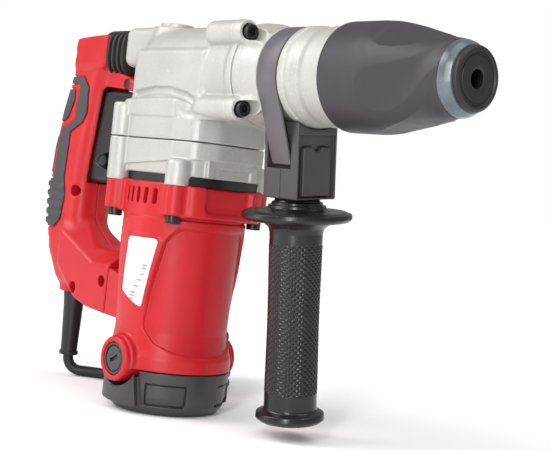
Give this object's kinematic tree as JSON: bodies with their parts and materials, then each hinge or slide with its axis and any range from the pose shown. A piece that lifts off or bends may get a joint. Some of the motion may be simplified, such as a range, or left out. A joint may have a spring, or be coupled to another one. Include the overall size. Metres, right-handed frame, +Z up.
{
  "type": "rotary hammer",
  "caption": "Heavy L-shaped rotary hammer with a sprung rear D-handle, clamp-on side handle, locking tool sleeve, vertical motor and a coiled supply cord.",
  "frame": {"origin": "mouth of the tool bore at the dust cap's front face, on the spindle axis", "axes": "+X forward out of the tool bore, +Y to the tool's left side, +Z up along the motor axis"},
  "size_m": [0.412, 0.1781, 0.2725],
  "materials": {
    "cast_aluminium": "satin",
    "red_nylon": "satin",
    "charcoal_plastic": "matte",
    "black_plastic": "satin",
    "grey_overmould": "matte",
    "sleeve_plastic": "matte",
    "ring_plastic": "gloss",
    "black_rubber": "matte",
    "tool_steel": "satin",
    "strap_steel": "satin",
    "black_screws": "satin",
    "bright_screws": "gloss",
    "winding_copper": "satin",
    "brush_brass": "satin",
    "lamination_steel": "matte",
    "brush_carbon": "matte",
    "cord_rubber": "matte"
  },
  "bodies": {
    "machine": {"gear_housing": "cast_aluminium", "lower_gear_case": "cast_aluminium", "barrel_collar": "cast_aluminium", "flange_screws": "black_screws", "motor_flange_screws": "black_screws", "end_cap_screws": "black_screws", "motor_housing": "red_nylon", "end_cap": "charcoal_plastic", "field_stack": "lamination_steel", "field_coils": "winding_copper", "air_baffle": "black_plastic", "brush_holders": "brush_brass", "carbon_brushes": "brush_carbon", "brush_caps": "black_plastic", "grease_cap": "cast_aluminium", "ball_bearings": "tool_steel", "spindle_bearings": "tool_steel", "pivot_pin": "tool_steel"},
    "armature": {"armature_shaft": "tool_steel", "armature_core": "lamination_steel", "armature_windings": "winding_copper", "commutator": "winding_copper", "cooling_fan": "black_plastic"},
    "crank": {"crank_gear": "tool_steel", "crankshaft": "tool_steel"},
    "bevel_shaft": {"bevel_drive_gear": "tool_steel", "bevel_pinion_shaft": "tool_steel"},
    "tool_spindle": {"spindle": "tool_steel", "crown_gear": "tool_steel", "dust_cap": "black_rubber", "locking_rollers": "tool_steel", "lock_spring": "tool_steel"},
    "sleeve": {"lock_sleeve": "sleeve_plastic", "sleeve_ring": "ring_plastic"},
    "piston_rod": {"piston": "tool_steel", "piston_pin": "tool_steel", "connecting_rod": "cast_aluminium"},
    "ram": {"striker": "tool_steel"},
    "anvil": {"impact_bolt": "tool_steel"},
    "selector": {"mode_selector": "black_plastic"},
    "rear_handle": {"handle_right_shell": "red_nylon", "handle_left_shell": "red_nylon", "grip_pads": "grey_overmould", "handle_screws": "bright_screws", "switch_body": "black_plastic", "handle_bellows": "black_rubber", "damper_spring": "tool_steel", "strain_relief": "black_rubber", "cord_tube": "cord_rubber", "cord_coil": "cord_rubber", "plug_body": "cord_rubber", "plug_pins": "brush_brass"},
    "switch_trigger": {"trigger": "black_plastic"},
    "lock_on": {"lock_on_button": "black_plastic"},
    "side_handle": {"clamp_strap": "strap_steel", "clamp_block_rear": "black_plastic", "clamp_block_front": "black_plastic", "clamp_nut": "tool_steel"},
    "side_grip_piece": {"side_grip": "black_plastic", "clamp_stud": "tool_steel"}
  },
  "joints": [
    {"name": "armature_spin", "type": "hinge", "parent": "machine", "child": "armature", "pos_m": [-0.251, 0, 0], "axis": [0, 0, 1], "continuous": true},
    {"name": "crank_spin", "type": "hinge", "parent": "machine", "child": "crank", "pos_m": [-0.271, 0, 0], "axis": [0, 0, 1], "continuous": true},
    {"name": "bevel_shaft_spin", "type": "hinge", "parent": "machine", "child": "bevel_shaft", "pos_m": [-0.231, 0, 0], "axis": [0, 0, 1], "continuous": true},
    {"name": "spindle_spin", "type": "hinge", "parent": "machine", "child": "tool_spindle", "pos_m": [0, 0, 0], "axis": [1, 0, 0], "continuous": true},
    {"name": "sleeve_slide", "type": "slide", "parent": "tool_spindle", "child": "sleeve", "axis": [-1, 0, 0], "range_m": [0, 0.01], "stiffness_N_per_m": 1500, "springref_m": -0.008, "deforming": ["lock_spring"]},
    {"name": "piston_slide", "type": "slide", "parent": "machine", "child": "piston_rod", "axis": [1, 0, 0], "range_m": [0, 0.02]},
    {"name": "striker_slide", "type": "slide", "parent": "machine", "child": "ram", "axis": [1, 0, 0], "range_m": [0, 0.012]},
    {"name": "impact_bolt_slide", "type": "slide", "parent": "machine", "child": "anvil", "axis": [1, 0, 0], "range_m": [0, 0.003]},
    {"name": "mode_selector_turn", "type": "hinge", "parent": "machine", "child": "selector", "pos_m": [-0.236, 0, 0.004], "axis": [0, 1, 0], "range_deg": [0, 90]},
    {"name": "handle_damper", "type": "hinge", "parent": "machine", "child": "rear_handle", "pos_m": [-0.311, 0, -0.1544], "axis": [0, 1, 0], "range_deg": [0, 2], "stiffness_Nm_per_rad": 290, "deforming": ["handle_bellows", "damper_spring"]},
    {"name": "trigger_pull", "type": "hinge", "parent": "rear_handle", "child": "switch_trigger", "pos_m": [-0.342, 0, -0.016], "axis": [0, 1, 0], "range_deg": [0, 6], "stiffness_Nm_per_rad": 3, "springref_deg": -5.73},
    {"name": "lock_on_slide", "type": "slide", "parent": "switch_trigger", "child": "lock_on", "axis": [0, 1, 0], "range_m": [0, 0.003], "stiffness_N_per_m": 500, "springref_m": -0.001},
    {"name": "side_handle_swivel", "type": "hinge", "parent": "machine", "child": "side_handle", "pos_m": [-0.145, 0, 0], "axis": [1, 0, 0], "range_deg": [-180, 180]},
    {"name": "grip_turn", "type": "hinge", "parent": "side_handle", "child": "side_grip_piece", "pos_m": [-0.145, 0, 0], "axis": [0, -0.1011, 0.9949], "range_deg": [-180, 180]}
  ],
  "couplings": [
    {"joint": "crank_spin", "follows": "armature_spin", "ratio": -0.25},
    {"joint": "bevel_shaft_spin", "follows": "armature_spin", "ratio": -0.25},
    {"joint": "spindle_spin", "follows": "armature_spin", "ratio": -0.090909}
  ]
}
